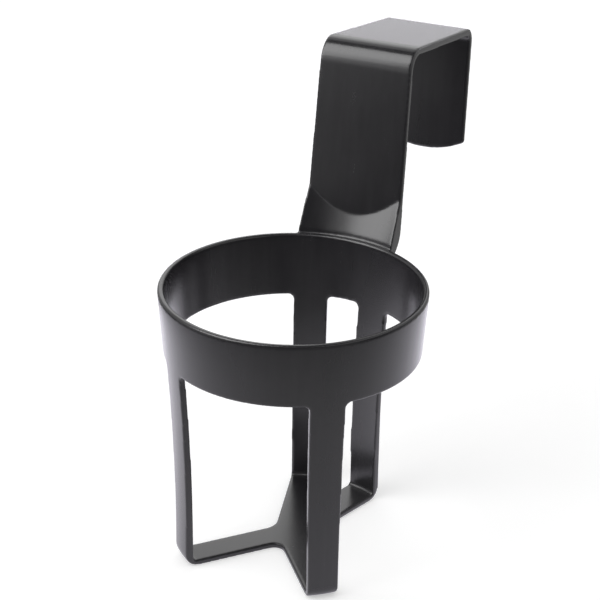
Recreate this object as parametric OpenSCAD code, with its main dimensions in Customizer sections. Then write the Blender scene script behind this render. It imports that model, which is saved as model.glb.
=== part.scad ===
// Hook-over cup holder for a car, moulded in one piece.
// The origin is on the ring's axis at the underside of the floor, +Z up, +Y towards the hook.

/* [Ring] */
// Outside diameter of the ring at its rim
ring_d = 80; // [72:0.5:92]
// Wall of the ring
ring_wall = 1.9; // [1.6:0.1:2.6]
// Height of the ring's band
band_h = 20; // [14:0.2:26]
// Taper of the band, in degrees
band_taper = 4.2; // [2:0.1:5]
// Rounding of the rim's two edges
rim_round = 0.5; // [0.2:0.1:0.7]

/* [Legs] */
// Height of the rim above the surface that the holder stands on
rim_z = 85.8; // [70:0.2:110]
// Radius of the long bow that the legs follow below the band
leg_bow = 690; // [620:10:1500]
// Thickness of the legs at the floor
foot_wall = 2.3; // [1.8:0.1:2.8]
// Angle of the front legs from the front of the ring
front_leg_angle = 40.7; // [34:0.1:50]
// Width of the front legs where they leave the band
front_leg_w = 10.5; // [9:0.1:13]
// Width of the front legs and arms at the floor
front_arm_w = 9.3; // [8:0.1:11]
// Angle of the back legs from the back of the ring
back_leg_angle = 16.6; // [15:0.1:20]
// Width of the back legs where they leave the band
back_leg_w = 10.7; // [9:0.1:11.5]
// Width of the back legs and arms at the floor
back_arm_w = 10.3; // [8:0.1:11]
// Rounding where the legs leave the band
leg_root_round = 1.7; // [0.8:0.1:2.2]

/* [Floor] */
// Thickness of the floor's arms
floor_t = 1.7; // [1.2:0.1:2.4]
// Outside radius of the bend from a leg to its arm
foot_bend = 4; // [3:0.1:5]
// Inside radius of that bend
foot_bend_in = 1.2; // [0.6:0.1:2]
// Rounding between the two front arms, seen from above
front_web_round = 3.2; // [1:0.1:5]
// Rounding between a front arm and a back arm
side_web_round = 6; // [2:0.2:9]
// Rounding between the two back arms
back_web_round = 2; // [1:0.1:2.5]

/* [Strap] */
// Thickness of the strap and hook
strap_t = 2.4; // [2:0.1:3.2]
// Width of the strap at the rim
strap_w = 31.5; // [28:0.5:36]
// Width of the strap at its top
strap_top_w = 29.9; // [26:0.1:32]
// Gap between the ring and the front of the strap, at the rim
strap_gap = 1.5; // [1:0.1:3]
// Lean of the strap towards the back, in degrees
strap_lean = 8.2; // [4:0.1:12]
// Height of the strap's top above the rim
strap_h = 59.8; // [45:0.2:80]

/* [Strap root] */
// Flare of the hollowed root, in degrees from upright
scoop_angle = 27; // [22:0.5:36]
// Height above the rim where the hollowed root flares
scoop_start = 1; // [0.8:0.1:3]
// Rounding from the rim into the hollowed root
scoop_round = 5; // [3:0.5:8]
// Height above the rim where the strap's back starts to turn in
heel_start = 3.8; // [3:0.1:7]
// Radius of that turn
heel_round = 8; // [6:0.2:10]

/* [Hook] */
// Reach of the hook, from the front of the strap to the back of the lip
hook_reach = 54.5; // [35:0.5:70]
// Slope of the hook's top towards the back, in degrees
top_slope = 8.4; // [0:0.1:12]
// Width of the hook at the lip
lip_w = 28.4; // [24:0.1:29.5]
// Length of the lip at its side edges
lip_len = 38.5; // [25:0.5:50]
// Lean of the lip's outer face, in degrees
lip_lean = 4.2; // [0:0.1:6]
// How much longer the lip is in the middle
lip_crown = 3.6; // [1:0.1:5]
// Thickness that the lip thins to at its end
lip_end_t = 1.7; // [1.2:0.1:2.4]
// Outside radius of the bend over the strap
front_bend = 7; // [4:0.2:9]
// Outside radius of the bend at the lip
back_bend = 5; // [3.4:0.2:6]

/* [Hidden] */
$fn = 96;
// Steps along a short bend, and along the long bow of a leg
bend_steps = 8;
bow_steps = 10;

ring_r = ring_d / 2;
band_z = rim_z - band_h;
band_r = ring_r - band_h * tan(band_taper);
foot_r = bow_r(foot_bend);
// Past the ring, past the top of the hollowed root, and past the hook
ring_past = ring_d;
root_past = strap_w;
hook_past = ring_d + strap_h + hook_reach;

// The hook is drawn as seen from the side: y towards the back, z up
strap_foot = [ring_r + strap_gap, rim_z];
strap_dir = [sin(strap_lean), cos(strap_lean)];
top_dir = [cos(top_slope), -sin(top_slope)];
lip_dir = [-sin(lip_lean), -cos(lip_lean)];
top_corner = strap_foot + strap_dir * strap_h / cos(strap_lean);
lip_corner = top_corner + top_dir * hook_reach / cos(top_slope);
lip_end_z = lip_corner[1] - lip_len;

// Angle of the leg's face from upright at height z, along the bow, and its radius there
function bow_angle(z) = asin(sin(band_taper) - (band_z - z) / leg_bow);
function bow_r(z) = band_r - leg_bow * (cos(bow_angle(z)) - cos(band_taper));

// Thickness of a leg at height z
inside_foot_z = floor_t + foot_bend_in;
function leg_wall(z) = foot_wall
    + (ring_wall - foot_wall) * (z - inside_foot_z) / (band_z - inside_foot_z);

function unit(v) = v / norm(v);

// A quarter turn to the left, and to the right
function left(v) = [-v[1], v[0]];
function right(v) = [v[1], -v[0]];

// Where the line through p along u meets the line through q along v
function meet(p, u, q, v) = p + u * cross(q - p, v) / cross(u, v);

// Points that round the corner c, on the way from p to n, to the radius r
function round_corner(p, c, n, r) =
    let (a = unit(p - c))
    let (b = unit(n - c))
    let (half = acos(a * b) / 2)
    let (centre = c + unit(a + b) * r / sin(half))
    let (from = c + a * r / tan(half) - centre)
    let (to = c + b * r / tan(half) - centre)
    let (start = atan2(from[1], from[0]))
    let (turn = atan2(cross(from, to), from * to))
    [for (i = [0 : bend_steps]) centre + r * turned(start + turn * i / bend_steps)];

function turned(angle) = [cos(angle), sin(angle)];

// Half section of the ring, the legs' wall and the floor, as one turned shell
module shell_section() {
    rim_top = [ring_r, rim_z];
    rim_in = [ring_r - ring_wall, rim_z];
    band_out = [band_r, band_z];
    band_in = [band_r - ring_wall, band_z];
    floor_out = [foot_r, 0];
    floor_in = [foot_r - foot_wall, floor_t];
    outer_bow = [for (i = [1 : bow_steps - 1])
        let (z = foot_bend + (band_z - foot_bend) * (1 - i / bow_steps))
        [bow_r(z), z]];
    inner_bow = [for (i = [1 : bow_steps - 1])
        let (z = inside_foot_z + (band_z - inside_foot_z) * i / bow_steps)
        [bow_r(max(z, foot_bend)) - leg_wall(z), z]];
    polygon(concat(
        round_corner(rim_in, rim_top, band_out, rim_round),
        [band_out],
        outer_bow,
        round_corner([foot_r, foot_bend], floor_out, [0, 0], foot_bend),
        [[0, 0], [0, floor_t]],
        round_corner([0, floor_t], floor_in, [foot_r - foot_wall, inside_foot_z], foot_bend_in),
        inner_bow,
        [band_in],
        round_corner(band_in, rim_in, rim_top, rim_round)
    ));
}

module shell() {
    rotate_extrude() shell_section();
}

// A leg seen from outside: straight at the foot, wider above, rounded into the band
module leg_outline(top_w, foot_w) {
    straight_z = 2 * foot_bend;
    bend_z = band_z - leg_root_round;
    polygon([
        [-foot_w / 2, -floor_t],
        [foot_w / 2, -floor_t],
        [foot_w / 2, straight_z],
        [top_w / 2, bend_z],
        [top_w / 2, band_z + leg_root_round],
        [-top_w / 2, band_z + leg_root_round],
        [-top_w / 2, bend_z],
        [-foot_w / 2, straight_z]
    ]);
    for (side = [-1, 1])
        difference() {
            translate([side * (top_w + leg_root_round) / 2, band_z - leg_root_round / 2])
                square([leg_root_round, leg_root_round], center = true);
            translate([side * (top_w / 2 + leg_root_round), bend_z])
                circle(r = leg_root_round);
        }
}

// The space that one leg takes, from inside its foot outwards
module leg_space(angle, top_w, foot_w) {
    rotate([0, 0, angle + 90])
        translate([0, -foot_r + 2 * foot_bend, 0])
            rotate([90, 0, 0])
                linear_extrude(ring_past) leg_outline(top_w, foot_w);
}

// The rounded corner between the arm at angle a and the next arm round at angle b, seen from above
function web(a, b, w_a, w_b, r) =
    let (side_a = left(turned(a)) * w_a / 2)
    let (side_b = right(turned(b)) * w_b / 2)
    let (corner = meet(side_a, turned(a), side_b, turned(b)))
    concat(
        [side_a + turned(a) * ring_past],
        round_corner(side_a + turned(a) * ring_past, corner, side_b + turned(b) * ring_past, r),
        [side_b + turned(b) * ring_past]
    );

// The crossed floor from above, its arms running out past the legs
module floor_outline() {
    front_a = 270 - front_leg_angle;
    front_b = 270 + front_leg_angle;
    back_a = 450 - back_leg_angle;
    back_b = 450 + back_leg_angle;
    polygon(concat(
        web(front_a, front_b, front_arm_w, front_arm_w, front_web_round),
        web(front_b, back_a, front_arm_w, back_arm_w, side_web_round),
        web(back_a, back_b, back_arm_w, back_arm_w, back_web_round),
        web(back_b, front_a + 360, back_arm_w, front_arm_w, side_web_round)
    ));
}

// The band of the ring, whole all round
module band() {
    intersection() {
        shell();
        translate([0, 0, band_z]) cylinder(r = ring_past, h = 2 * band_h);
    }
}

// The four legs, each cut out of the turned shell with its own space
module legs() {
    intersection() {
        shell();
        for (side = [-1, 1]) {
            leg_space(270 + side * front_leg_angle, front_leg_w, front_arm_w);
            leg_space(90 + side * back_leg_angle, back_leg_w, back_arm_w);
        }
    }
}

// The floor's four arms, up to where they turn into the legs
module floor_arms() {
    arm_top = (inside_foot_z + foot_bend) / 2;
    intersection() {
        shell();
        translate([0, 0, -floor_t])
            linear_extrude(floor_t + arm_top) floor_outline();
    }
}

// Strap and hook from the side, from the heel up and over to the end of the lip
module hook_side() {
    back_foot = strap_foot + right(strap_dir) * strap_t;
    under_top = top_corner + right(top_dir) * strap_t;
    inside_lip = lip_corner + right(lip_dir) * strap_t;
    inner_top = meet(back_foot, strap_dir, under_top, top_dir);
    lip_reach = (lip_len + 2 * lip_crown) / cos(lip_lean);
    lip_end = lip_corner + lip_dir * lip_reach;
    inner_end = lip_end + right(lip_dir) * lip_end_t;
    inner_lip = meet(under_top, top_dir, inside_lip, inner_end - inside_lip);
    heel = heel_start / cos(strap_lean);
    polygon(concat(
        [strap_foot + strap_dir * heel],
        round_corner(strap_foot, top_corner, lip_corner, front_bend),
        round_corner(top_corner, lip_corner, lip_end, back_bend),
        [lip_end, inner_end],
        round_corner(inner_end, inner_lip, inner_top, back_bend - strap_t),
        round_corner(inner_lip, inner_top, back_foot, front_bend - strap_t),
        [back_foot + strap_dir * heel]
    ));
}

// The root from the side: the strap's back turns in under the flare and runs to the ring
module root_side() {
    back_foot = strap_foot + right(strap_dir) * strap_t;
    scoop_top = rim_z + root_past;
    heel = back_foot + strap_dir * heel_start / cos(strap_lean);
    heel_centre = heel - right(strap_dir) * heel_round;
    under_z = heel_centre[1] - heel_round;
    back_top = meet(back_foot, strap_dir, [0, scoop_top], [1, 0]);
    polygon(concat(
        [back_top],
        [for (i = [0 : bend_steps])
            heel_centre + heel_round * turned(-strap_lean - (90 - strap_lean) * i / bend_steps)],
        [[0, under_z], [0, scoop_top]]
    ));
}

// What is clear of the root: inside the ring's wall, and the flare that guides the cup in
module root_clear() {
    wall_r = ring_r - ring_wall / 2;
    step = [ring_r - rim_round, rim_z];
    flare = step + [0, scoop_start];
    flare_end = flare + root_past * [tan(scoop_angle), 1];
    round_most = scoop_start / tan(scoop_angle / 2);
    rotate_extrude()
        polygon(concat(
            [[0, band_z], [wall_r - band_h * tan(band_taper), band_z], [wall_r, rim_z], step],
            round_corner(step, flare, flare_end, min(scoop_round, 0.98 * round_most)),
            [flare_end, [0, flare_end[1]]]
        ));
}

// Pulls a side view out across the holder
module across() {
    translate([-ring_past / 2, 0, 0])
        rotate([90, 0, 90])
            linear_extrude(ring_past) children();
}

// Strap and hook seen from the front: narrower towards the bend at the top
module strap_front() {
    straight_h = strap_h - front_bend;
    low_z = rim_z - band_h;
    low_w = strap_w + (strap_w - strap_top_w) * band_h / straight_h;
    bend_z = rim_z + straight_h;
    high_z = rim_z + 2 * strap_h;
    polygon([
        [-low_w / 2, low_z],
        [low_w / 2, low_z],
        [strap_top_w / 2, bend_z],
        [strap_top_w / 2, high_z],
        [-strap_top_w / 2, high_z],
        [-strap_top_w / 2, bend_z]
    ]);
}

// The hook's top seen from above: narrower from the bend to the lip
module top_outline() {
    start_y = top_corner[0] + front_bend;
    end_y = lip_corner[0];
    polygon([
        [-ring_r, 0],
        [ring_r, 0],
        [ring_r, start_y],
        [strap_top_w / 2, start_y],
        [lip_w / 2, end_y],
        [lip_w / 2, end_y + strap_t],
        [-lip_w / 2, end_y + strap_t],
        [-lip_w / 2, end_y],
        [-strap_top_w / 2, start_y],
        [-ring_r, start_y]
    ]);
}

// What the rounded end takes off the lip
module lip_trim() {
    end_r = (pow(lip_w / 2, 2) + pow(lip_crown, 2)) / (2 * lip_crown);
    centre_z = lip_end_z - lip_crown + end_r;
    lip_back = lip_corner[0] + strap_t;
    translate([0, lip_back, 0])
        rotate([90, 0, 0])
            linear_extrude(hook_reach / 2)
                difference() {
                    translate([-lip_w, centre_z - end_r - 2 * lip_crown])
                        square([2 * lip_w, end_r + 2 * lip_crown]);
                    translate([0, centre_z]) circle(r = end_r, $fn = 192);
                }
}

module strap_and_hook() {
    difference() {
        intersection() {
            union() {
                across() hook_side();
                difference() {
                    across() root_side();
                    root_clear();
                }
            }
            translate([0, hook_past, 0])
                rotate([90, 0, 0])
                    linear_extrude(hook_past) strap_front();
            linear_extrude(hook_past) top_outline();
        }
        lip_trim();
    }
}

module holder() {
    color("#2b2b2d") {
        band();
        legs();
        floor_arms();
        strap_and_hook();
    }
}

holder();
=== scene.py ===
# Studio picture of a hook-over car cup holder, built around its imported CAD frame
import math

import bmesh
import bpy
from mathutils import Matrix, Vector
from mathutils.bvhtree import BVHTree
from mathutils.interpolate import poly_3d_calc


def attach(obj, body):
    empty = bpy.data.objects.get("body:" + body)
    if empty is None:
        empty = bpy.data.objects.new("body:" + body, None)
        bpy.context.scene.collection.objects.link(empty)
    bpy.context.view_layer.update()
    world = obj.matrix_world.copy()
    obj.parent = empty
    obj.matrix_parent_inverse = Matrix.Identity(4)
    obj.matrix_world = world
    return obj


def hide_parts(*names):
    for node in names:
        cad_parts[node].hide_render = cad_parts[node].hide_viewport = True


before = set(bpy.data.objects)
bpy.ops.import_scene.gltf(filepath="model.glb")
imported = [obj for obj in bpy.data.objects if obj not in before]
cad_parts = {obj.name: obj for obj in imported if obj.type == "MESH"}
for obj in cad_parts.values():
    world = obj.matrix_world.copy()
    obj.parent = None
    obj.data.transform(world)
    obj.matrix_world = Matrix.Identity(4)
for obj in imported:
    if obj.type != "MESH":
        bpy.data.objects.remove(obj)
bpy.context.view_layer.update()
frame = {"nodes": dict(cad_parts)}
scene = bpy.context.scene
scene.view_settings.view_transform = "Standard"
print("frame loaded:", ", ".join(frame["nodes"]))


def newObject(name, data):
    made = bpy.data.objects.new(name, data)
    scene.collection.objects.link(made)
    return made


def fromEdit(name, b):
    # a new object with the mesh of b, which is used up
    data = bpy.data.meshes.new(name)
    b.to_mesh(data)
    b.free()
    return newObject(name, data)


# shader graphs: sockets that can be written into sums

class Wire:
    def __init__(self, graph, socket):
        self.graph = graph
        self.socket = socket

    def maths(self, operation, *others):
        return self.graph.node("ShaderNodeMath", {"operation": operation}, [self, *others])

    def __add__(self, other):
        return self.maths("ADD", other)

    def __sub__(self, other):
        return self.maths("SUBTRACT", other)

    def __rsub__(self, other):
        return self.graph.node("ShaderNodeMath", {"operation": "SUBTRACT"}, [other, self])

    def __mul__(self, other):
        return self.maths("MULTIPLY", other)

    __radd__ = __add__
    __rmul__ = __mul__

    def remap(self, low, high, newLow, newHigh):
        return self.graph.node("ShaderNodeMapRange", None, [self, low, high, newLow, newHigh])


class Graph:
    def __init__(self, tree):
        self.tree = tree
        self.tree.nodes.clear()

    def node(self, kind, settings=None, inputs=None, output=0):
        made = self.tree.nodes.new(kind)
        for name, value in (settings or {}).items():
            setattr(made, name, value)
        pairs = inputs.items() if isinstance(inputs, dict) else enumerate(inputs or [])
        for key, value in pairs:
            if isinstance(value, Wire):
                self.tree.links.new(value.socket, made.inputs[key])
            else:
                made.inputs[key].default_value = value
        return Wire(self, made.outputs[output]) if made.outputs else None

    def objectPlace(self):
        return self.node("ShaderNodeTexCoord", None, None, "Object")

    def noise(self, place, scale, detail, roughness):
        return self.node("ShaderNodeTexNoise", {"noise_dimensions": "3D"},
                         {"Vector": place, "Scale": scale, "Detail": detail, "Roughness": roughness})

    def mapped(self, place, **moves):
        return self.node("ShaderNodeMapping", None, {"Vector": place, **moves})

    def between(self, share, a, b):
        return self.node("ShaderNodeMix", {"data_type": "RGBA"}, {0: share, 6: a, 7: b}, 2)

    def parts(self, place):
        return (self.node("ShaderNodeSeparateXYZ", None, {"Vector": place}, axis) for axis in "XYZ")

    def rays(self, kind):
        return self.node("ShaderNodeLightPath", None, None, "Is " + kind + " Ray")

    def finish(self, shader, kind="ShaderNodeOutputMaterial"):
        self.node(kind, None, {"Surface": shader})


def newMaterial(name):
    material = bpy.data.materials.new(name)
    material.use_nodes = True
    return material, Graph(material.node_tree)


# the moulded black plastic

plastic = {
    "dark": (0.0130, 0.0123, 0.0143, 1),
    "light": (0.0190, 0.0180, 0.0206, 1),
    "tones": (0.35, 0.65),  # noise values between which the one turns into the other
    "ior": 1.5,
    "roughness": 0.26,
    "cloudRoughness": 0.05,
    "streakRoughness": 0.025,
    "grainRoughness": 0.03,
    # noises: scale, detail, roughness
    "clouds": (38.0, 3.0, 0.55),  # patches of 25 mm, as the mould's wall leaves them
    "streaks": (1.0, 3.0, 0.6),
    "streakScale": (260.0, 260.0, 9.0),  # flow marks that run up the strap and the legs
    "ripple": (150.0, 1.0, 0.4),  # soft unevenness, 6 mm
    "grain": (2400.0, 2.0, 0.6),  # fine moulded grain, 0.4 mm
    "grainTurn": (0.6, 0.4, 0.9),  # so that no flat lies along the noise's own cells
    "rippleShare": 0.7,  # of the bump's height
    "bumpDepth": 0.00004,
    "bumpStrength": 0.3,
}


def makePlastic():
    material, g = newMaterial("blackPlastic")
    place = g.objectPlace()
    clouds = g.noise(place, *plastic["clouds"])
    streaks = g.noise(g.mapped(place, Scale=plastic["streakScale"]), *plastic["streaks"])
    ripple = g.noise(place, *plastic["ripple"])
    grain = g.noise(g.mapped(place, Rotation=plastic["grainTurn"]), *plastic["grain"])
    tone = ((clouds + streaks) * 0.5).remap(*plastic["tones"], 0.0, 1.0)
    rough = (plastic["roughness"] + (clouds - 0.5) * plastic["cloudRoughness"]
             + (streaks - 0.5) * plastic["streakRoughness"] + (grain - 0.5) * plastic["grainRoughness"])
    height = ripple * plastic["rippleShare"] + grain * (1 - plastic["rippleShare"])
    bump = g.node("ShaderNodeBump", None, {
        "Strength": plastic["bumpStrength"], "Distance": plastic["bumpDepth"], "Height": height})
    g.finish(g.node("ShaderNodeBsdfPrincipled", None, {
        "Base Color": g.between(tone, plastic["dark"], plastic["light"]),
        "Roughness": rough, "IOR": plastic["ior"], "Normal": bump}))
    return material


# the moulding itself: the CAD solid with its edges rounded as the mould leaves them

moulding = {
    "weld": 1e-6,  # metres, like all lengths here
    "cell": 0.00030,  # of the remesh, a sixth of the ring's wall
    "rounds": 8,  # of smoothing, which rounds the edges
    "share": 0.5,  # how far one round moves a point towards its neighbours
    "kept": 196000,  # triangles that are left after thinning
    # the walls that are turned round the ring's axis: heights, radii and the slopes that they face
    "turned": {"basket": ((0.0, 0.086), (0.020, 0.0402), (-0.8, 0.8)),
               "flare": ((0.0855, 0.110), (0.036, 0.060), (0.3, 0.9))},
    "widestFlat": math.radians(6.2),  # no flat of a turned wall spans more
}


def turnedFlats(b):
    # the CAD mesh has turned walls as narrow flats: for each of these faces, its corners' azimuths
    flats = {}
    for face in b.faces:
        centre = face.calc_center_median()
        spot = (centre.z, centre.xy.length, face.normal.z)
        if not any(all(low < value < high for value, (low, high) in zip(spot, limits))
                   for limits in moulding["turned"].values()):
            continue
        azimuths = [v.co.xy.angle_signed(centre.xy) for v in face.verts]
        facing = face.normal.xy if face.normal.xy.dot(centre.xy) > 0 else -face.normal.xy
        turn = facing.angle_signed(centre.xy)
        least, most = min(azimuths), max(azimuths)
        if least <= turn <= most and most - least < moulding["widestFlat"]:
            flats[face.index] = azimuths
    return flats


def makeRound(b, solid, flats):
    # moves the points of b that lie on such a flat out to the round that its corners stand on:
    # the flat runs inside it by half the variance of the corners' azimuths, weighed at the point
    solid.faces.ensure_lookup_table()
    tree = BVHTree.FromBMesh(solid)
    for v in b.verts:
        place, _, index, _ = tree.find_nearest(v.co)
        if index in flats:
            shares = poly_3d_calc([c.co for c in solid.faces[index].verts], place)
            mean = sum(s * a for s, a in zip(shares, flats[index]))
            variance = sum(s * a * a for s, a in zip(shares, flats[index])) - mean * mean
            v.co.xy *= 1 + variance / 2


def bakeOff(piece):
    # the piece's mesh with its modifier's work done, for editing
    done = bpy.data.meshes.new_from_object(piece.evaluated_get(bpy.context.evaluated_depsgraph_get()))
    piece.modifiers.clear()
    b = bmesh.new()
    b.from_mesh(done)
    bpy.data.meshes.remove(done)
    return b


def makeMoulding(name, source):
    solid = bmesh.new()
    solid.from_mesh(source.data)
    bmesh.ops.remove_doubles(solid, verts=solid.verts, dist=moulding["weld"])
    flats = turnedFlats(solid)
    print("turned flats:", len(flats), "of", len(solid.faces))
    piece = fromEdit(name, solid.copy())

    cells = piece.modifiers.new("cells", "REMESH")
    cells.mode = "VOXEL"
    cells.voxel_size = moulding["cell"]
    b = bakeOff(piece)
    makeRound(b, solid, flats)
    solid.free()
    for _ in range(moulding["rounds"]):
        bmesh.ops.smooth_vert(b, verts=b.verts, factor=moulding["share"],
                              use_axis_x=True, use_axis_y=True, use_axis_z=True)
    bmesh.ops.triangulate(b, faces=b.faces)
    b.to_mesh(piece.data)
    print("before thinning:", len(b.faces), "triangles")

    thinner = piece.modifiers.new("thinner", "DECIMATE")
    thinner.ratio = moulding["kept"] / len(b.faces)
    b.free()
    b = bakeOff(piece)
    for face in b.faces:
        face.smooth = True
    b.to_mesh(piece.data)
    b.free()
    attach(piece, "root")
    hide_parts(source.name)
    return piece


mouldedHolder = makeMoulding("mouldedHolder", frame["nodes"]["holder"])
mouldedHolder.data.materials.append(makePlastic())
print("holder made:", len(mouldedHolder.data.polygons), "triangles")


# camera, at the photograph's place

camera = {
    "azimuth": 24.942,
    "elevation": 25.27,
    "roll": 0.718,
    "place": (0.21941, -0.46705, 0.32476),
    "lens": 116.293,
    "sensor": 36.0,
    "nearest": 0.01,
}


def makeCamera():
    data = bpy.data.cameras.new("camera")
    data.lens = camera["lens"]
    data.sensor_width = camera["sensor"]
    data.clip_start = camera["nearest"]
    made = newObject("camera", data)
    turn = (Matrix.Rotation(math.radians(camera["azimuth"]), 4, "Z")
            @ Matrix.Rotation(math.radians(90 - camera["elevation"]), 4, "X")
            @ Matrix.Rotation(math.radians(camera["roll"]), 4, "Z"))
    made.matrix_world = Matrix.Translation(camera["place"]) @ turn
    scene.camera = made


makeCamera()
print("camera set")


# studio: white floor, pale world, soft lamps, boards and a curtain, each placed round the holder

studio = {
    "aim": (0.0, 0.02, 0.09),
    "floorHalf": 3.0,
    "floorColour": (0.80, 0.80, 0.80, 1),
    "floorSeen": 0.42,  # added for the eye, so that the floor is white round its soft shadows
    "nearGloss": 0.75,  # what the floor adds to the gloss under the holder
    "slope": (-2.6, 4.0),  # how that falls to the right and rises to the back, per metre
    "leastGloss": 0.05,
    "mostGloss": 3.0,
    "glossTint": (1.04, 1.0, 1.15, 1),
    "worldSeen": 1.0,
    "worldFill": 0.55,
}
# name: azimuth from the front towards the left, elevation, distance, width, height, radiance
lamps = {
    "keyLamp": (45, 42, 1.00, 0.66, 1.26, 1.9),
    "backLamp": (154, 30, 1.5, 1.2, 0.75, 1.1),
}
# boards that only the gloss sees, measured like the lamps; the last two are black
cards = {
    "keyBoard": (45, 42, 1.05, 0.70, 1.34, 4.2),
    "frontBoard": (-21, 30, 1.00, 0.90, 0.80, 0.0),
    "topBoard": (0, 89, 1.2, 1.4, 1.0, 0.0),
}
# black cloth that stands on the floor round the holder, open to the back left
curtain = {
    "middle": (0.0, 0.010),
    "radius": 0.173,
    "height": 0.135,
    "from": -180,  # azimuths
    "to": 122,
    "steps": 48,
    "backGlow": 0.5,  # at the very back
    "rightGlow": 0.12,  # at the very right
    "leftGlow": 0.5,  # high up on the left, as the strap's left part shows it
    "leftFrom": (-0.070, -0.095),  # x where it starts and where it is full
    "leftAbove": (0.025, 0.05),  # and the same in height
    "frontGlow": 0.30,  # a paler stripe in front, which the rim shows
    "frontDepth": -0.06,  # y where it is full
    "stripe": ((0.025, 0.045), (0.085, 0.065)),  # heights where it comes in and goes out
}


def around(azimuth, elevation, distance):
    # where a lamp or board stands, turned to face the aim
    a, e = math.radians(azimuth), math.radians(elevation)
    way = Vector((-math.sin(a) * math.cos(e), -math.cos(a) * math.cos(e), math.sin(e)))
    place = Vector(studio["aim"]) + way * distance
    return Matrix.Translation(place) @ way.to_track_quat("Z", "Y").to_matrix().to_4x4()


def makeSquare(name, sizeX, sizeY):
    b = bmesh.new()
    bmesh.ops.create_grid(b, x_segments=1, y_segments=1, size=0.5)
    bmesh.ops.scale(b, vec=(sizeX, sizeY, 1.0), verts=b.verts)
    return fromEdit(name, b)


def makeFloor():
    made = makeSquare("floor", 2 * studio["floorHalf"], 2 * studio["floorHalf"])
    material, g = newMaterial("floorWhite")
    x, y, _ = g.parts(g.objectPlace())
    rise = studio["nearGloss"] + x * studio["slope"][0] + y * studio["slope"][1]
    gloss = rise.maths("MAXIMUM", studio["leastGloss"]).maths("MINIMUM", studio["mostGloss"])
    diffuse = g.node("ShaderNodeBsdfDiffuse", None, {"Color": studio["floorColour"]})
    white = g.node("ShaderNodeEmission", None, {"Strength": g.rays("Camera") * studio["floorSeen"]})
    glow = g.node("ShaderNodeEmission", None, {
        "Color": studio["glossTint"], "Strength": g.rays("Glossy") * gloss})
    lit = g.node("ShaderNodeAddShader", None, [diffuse, white])
    g.finish(g.node("ShaderNodeAddShader", None, [lit, glow]))
    made.data.materials.append(material)


def makeWorld():
    world = bpy.data.worlds.new("studio")
    scene.world = world
    world.use_nodes = True
    g = Graph(world.node_tree)
    # full strength for the eye and for what gloss and glass show, less for the light itself
    seen = g.rays("Camera").maths("MAXIMUM", g.rays("Glossy")).maths("MAXIMUM", g.rays("Transmission"))
    strength = studio["worldFill"] + seen * (studio["worldSeen"] - studio["worldFill"])
    back = g.node("ShaderNodeBackground", None, {"Color": (1, 1, 1, 1), "Strength": strength})
    g.finish(back, "ShaderNodeOutputWorld")


def makeLamp(name, azimuth, elevation, distance, width, height, radiance):
    data = bpy.data.lights.new(name, "AREA")
    data.shape = "RECTANGLE"
    data.size = width
    data.size_y = height
    data.energy = radiance * math.pi * width * height
    newObject(name, data).matrix_world = around(azimuth, elevation, distance)


def forGloss(made, glow):
    # glow makes the radiance from the material's graph
    material, g = newMaterial(made.name)
    g.finish(g.node("ShaderNodeEmission", None, {"Strength": glow(g)}))
    made.data.materials.append(material)
    made.visible_camera = False
    made.visible_diffuse = False
    made.visible_shadow = False


def makeCard(name, azimuth, elevation, distance, width, height, radiance):
    made = makeSquare(name, width, height)
    made.data.transform(around(azimuth, elevation, distance))
    forGloss(made, lambda g: radiance)


def curtainGlow(g):
    x, y, z = g.parts(g.objectPlace())
    left = x.remap(*curtain["leftFrom"], 0.0, curtain["leftGlow"])
    left *= z.remap(*curtain["leftAbove"], 0.0, 1.0)
    right = x.remap(0.0, curtain["radius"], 0.0, curtain["rightGlow"])
    back = y.remap(0.0, curtain["radius"], 0.0, curtain["backGlow"])
    rising, falling = (z.remap(*ends, 0.0, 1.0) for ends in curtain["stripe"])
    front = rising * falling * y.remap(0.0, curtain["frontDepth"], 0.0, curtain["frontGlow"])
    return left + right + back + front


def makeCurtain():
    b = bmesh.new()
    start = math.radians(curtain["from"])
    x, y = curtain["middle"]
    foot = (x - math.sin(start) * curtain["radius"], y - math.cos(start) * curtain["radius"])
    ends = [b.verts.new((*foot, z)) for z in (0.0, curtain["height"])]
    edge = b.edges.new(ends)
    bmesh.ops.spin(b, geom=[*ends, edge], axis=(0, 0, -1), cent=(x, y, 0), steps=curtain["steps"],
                   angle=math.radians(curtain["to"] - curtain["from"]))
    forGloss(fromEdit("curtain", b), curtainGlow)


makeFloor()
makeWorld()
for name, values in lamps.items():
    makeLamp(name, *values)
for name, values in cards.items():
    makeCard(name, *values)
makeCurtain()
print("studio lit")
